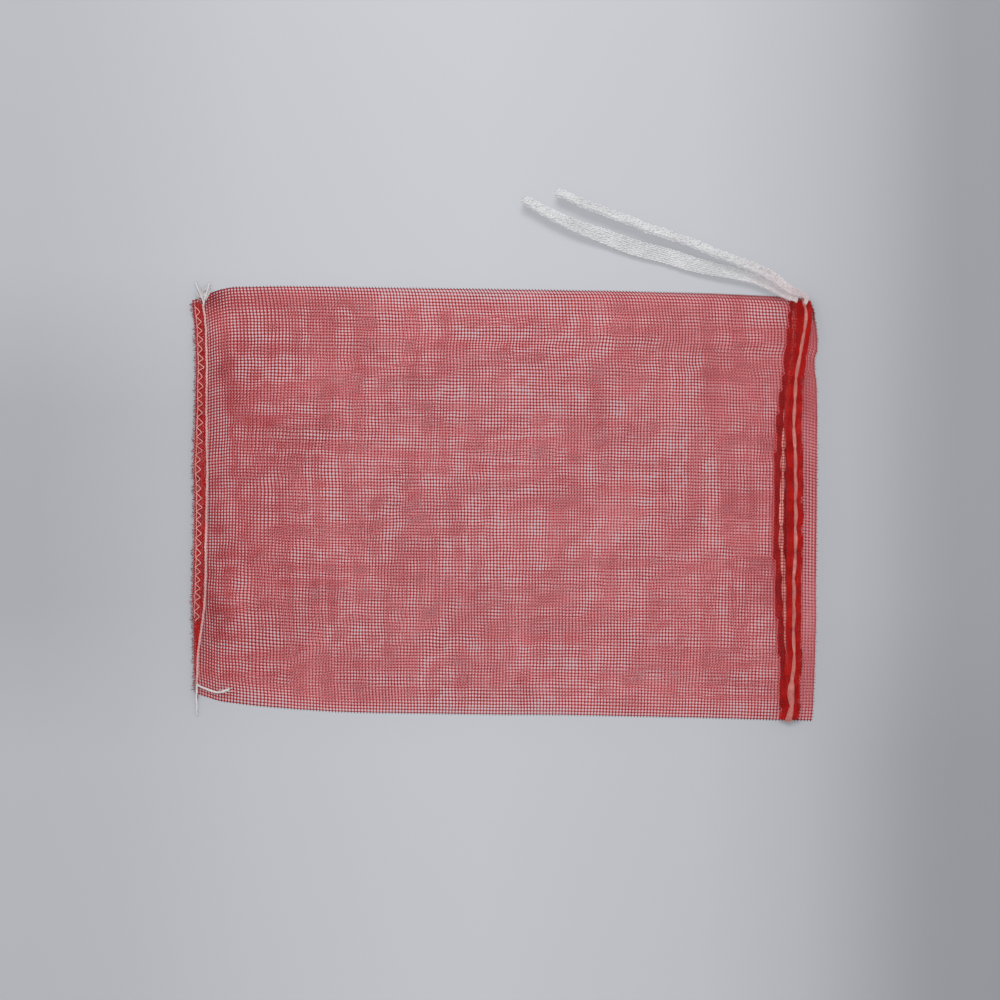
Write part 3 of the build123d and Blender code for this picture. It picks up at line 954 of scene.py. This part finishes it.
for i in range(34):
    base = np.array([-145.0 + fz_rng.uniform(-2.0, 2.2), 98.4 + fz_rng.uniform(-1, 1), 1.2])
    d = np.array([fz_rng.uniform(-2.4, 3.2), fz_rng.uniform(1.5, 5.5), 0])
    mid = base + d * 0.5 + np.array([fz_rng.uniform(-1, 1), 0, 0.3])
    end = base + d + np.array([fz_rng.uniform(-1.5, 1.5), 0, -0.3])
    thread(tail_parts, [base, mid, end], 0.13, m=4, sub=4)
# loosened ends of the lower tail on the net
for i in range(12):
    base = np.array([-134.5 + fz_rng.uniform(-3.5, 1.5), -89.9 + fz_rng.uniform(-0.5, 0.5), 2.5])
    d = np.array([fz_rng.uniform(1.2, 3.6), fz_rng.uniform(-1.0, 1.4), 0])
    thread(tail_parts, [base, base + d * 0.5 + (0, 0, 0.25), base + d + (0, fz_rng.uniform(-0.6, 0.6), -0.1)], 0.12, m=4, sub=4)
chain_thread = chain_parts.build("chain_stitch_thread", pink_thread)
chain_tails = tail_parts.build("chain_stitch_tails", grey_thread)

# overlock: a straight looper thread on the edge and the zigzag that locks to it
over = Parts()
ys = np.arange(-55.0, 95.6, 0.35)
x = hem_edge(ys) + 1.05 + 0.14 * waves(ys, 0 * ys, 190, 8.0)
thread(over, np.stack([x, ys, on_top(x, ys, 0.34)], axis=1), 0.14, m=6)
zr = np.random.default_rng(17)
y = 94.6
while y > -56:
    pitch = 4.5 * zr.uniform(0.88, 1.12)
    peak = hem_edge(y - 1.6) + 1.05 + zr.uniform(1.9, 2.7)
    x0, x1 = hem_edge(y) + 1.05, hem_edge(y - pitch) + 1.05
    pts = [
        (x0 - 0.1, y, on_top(x0, y, 0.45)),
        (0.45 * x0 + 0.55 * peak, y - 0.26 * pitch, on_top(x0 + 1, y, 0.62)),
        (peak, y - 0.50 * pitch, on_top(peak, y - 0.42 * pitch, 0.66)),
        (peak - 0.25, y - 0.62 * pitch, on_top(peak, y - 0.42 * pitch, 0.60)),
        (0.6 * x1 + 0.4 * peak, y - 0.80 * pitch, on_top(x1 + 1, y - pitch, 0.58)),
        (x1 - 0.1, y - pitch, on_top(x1, y - pitch, 0.45)),
    ]
    thread(over, pts, 0.19, m=6, sub=4)
    y -= pitch
overlock = over.build("overlock_thread", coral_thread)

# ----------------------------------------------------------- bodies, and the model's own parts hidden
for ob in (*front_net, *back_net, casing_front, casing_back):
    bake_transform(ob)
for ob in (hem_net, hem_fringe, chain_thread, chain_tails, overlock):
    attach(ob, "bag")
for ob in (upper_tail, lower_tail, run_front, run_back, far_bend):
    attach(ob, "drawstring")
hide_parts("net_front", "net_front_hem_slope", "side_fold_exit", "side_fold_far")
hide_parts("frill_front", "frill_exit_fold")
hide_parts("net_back")
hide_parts("frill_back")
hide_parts("casing_front", "casing_far_fold")
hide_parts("casing_back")
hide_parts("bottom_hem")
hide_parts("chain_stitch_thread")
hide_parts("overlock_thread")
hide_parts("drawstring_front_run")
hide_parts("drawstring_back_run")
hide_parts("drawstring_far_bend")
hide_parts("drawstring_upper_tail")
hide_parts("drawstring_lower_tail")

# the thin yarn lets nearly all of the soft light through to the floor
for ob in (*front_net, *back_net):
    ob.visible_shadow = False
    ob.visible_diffuse = False
# so does the loose tape
for ob in (upper_tail, lower_tail):
    ob.visible_diffuse = False

# ------------------------------------------------------------ floor and light
floor_me = bpy.data.meshes.new("floor")
floor_me.from_pydata([(-4, -4, -0.0002), (4, -4, -0.0002), (4, 4, -0.0002), (-4, 4, -0.0002)], [], [(0, 1, 2, 3)])
floor_mat, nt, p = node_material("floor_pale")
tc = nt.nodes.new("ShaderNodeTexCoord")
sep = nt.nodes.new("ShaderNodeSeparateXYZ")
nt.links.new(tc.outputs["Object"], sep.inputs[0])


def scaled(source, low_in, high_in):
    n = nt.nodes.new("ShaderNodeMapRange")
    n.inputs["From Min"].default_value = low_in
    n.inputs["From Max"].default_value = high_in
    nt.links.new(source, n.inputs["Value"])
    return n.outputs["Result"]


def mixed(fac, a, b):
    n = nt.nodes.new("ShaderNodeMix")
    n.data_type = "RGBA"
    nt.links.new(fac, n.inputs["Factor"])
    nt.links.new(a, n.inputs["A"])
    nt.links.new(b, n.inputs["B"])
    return n.outputs["Result"]


def painted_falloff_row(stops):
    """A pale grey that changes along X: (x in mm, brightness) rows, from -240 to 240. The brightness changes are
    painted light falloff.
    """
    return ramp(nt, across_x, [((x + 240) / 480, (g * 0.985, g * 1.0, g * 1.055)) for x, g in stops]).outputs["Color"]


across_x = scaled(sep.outputs["X"], -0.24, 0.24)
# painted light falloff: the floor is brightest at the middle of its top and bottom parts, darker in the band across
# the middle, and darker towards the sides, most towards the right
LEVEL = 0.805
top_row = painted_falloff_row([(x, 0.972 * LEVEL * g) for x, g in (
    (-224, 0.481), (-185, 0.500), (-120, 0.545), (-50, 0.568), (-10, 0.575), (94, 0.552), (142, 0.500), (170, 0.456), (190, 0.405), (204, 0.365), (218, 0.340))])
mid_row = painted_falloff_row([(x, LEVEL * g) for x, g in (
    (-224, 0.397), (-204, 0.412), (-185, 0.428), (-165, 0.448), (-100, 0.480), (0, 0.500), (100, 0.480), (166, 0.445), (180, 0.415), (194, 0.375), (209, 0.345), (218, 0.335))])
low_row = painted_falloff_row([(x, LEVEL * g) for x, g in (
    (-224, 0.462), (-185, 0.472), (-120, 0.515), (-50, 0.545), (-10, 0.552), (94, 0.520), (142, 0.466), (170, 0.400), (190, 0.350), (204, 0.325), (218, 0.315))])
upper_half = mixed(scaled(sep.outputs["Y"], 0.045, 0.115), mid_row, top_row)
floor_with_painted_falloff = mixed(scaled(sep.outputs["Y"], -0.045, -0.12), upper_half, low_row)
nt.links.new(floor_with_painted_falloff, p.inputs["Base Color"])
p.inputs["Roughness"].default_value = 0.85
p.inputs["Specular IOR Level"].default_value = 0.2
floor_me.materials.append(floor_mat)
floor = bpy.data.objects.new("floor", floor_me)
scene.collection.objects.link(floor)


def area_light(name, at, aim, size, power, color=(1, 1, 1)):
    l = bpy.data.lights.new(name, "AREA")
    l.shape = "RECTANGLE"
    l.size, l.size_y = size
    l.energy = power
    l.color = color
    o = bpy.data.objects.new(name, l)
    scene.collection.objects.link(o)
    o.location = at
    d = Vector(aim) - Vector(at)
    o.rotation_euler = d.to_track_quat("-Z", "Y").to_euler()
    return o


area_light("key", (-0.10, 0.95, 1.15), (0.0, 0.0, 0.0), (0.75, 0.55), 9.7, (1.0, 1.0, 1.0))
area_light("fill", (-0.5, -0.8, 1.3), (0.0, 0.0, 0.0), (1.4, 1.0), 2.0, (0.98, 0.99, 1.0))
world = bpy.data.worlds.new("world")
scene.world = world
world.use_nodes = True
world.node_tree.nodes["Background"].inputs["Color"].default_value = (0.97, 0.98, 1.0, 1)
world.node_tree.nodes["Background"].inputs["Strength"].default_value = 0.92
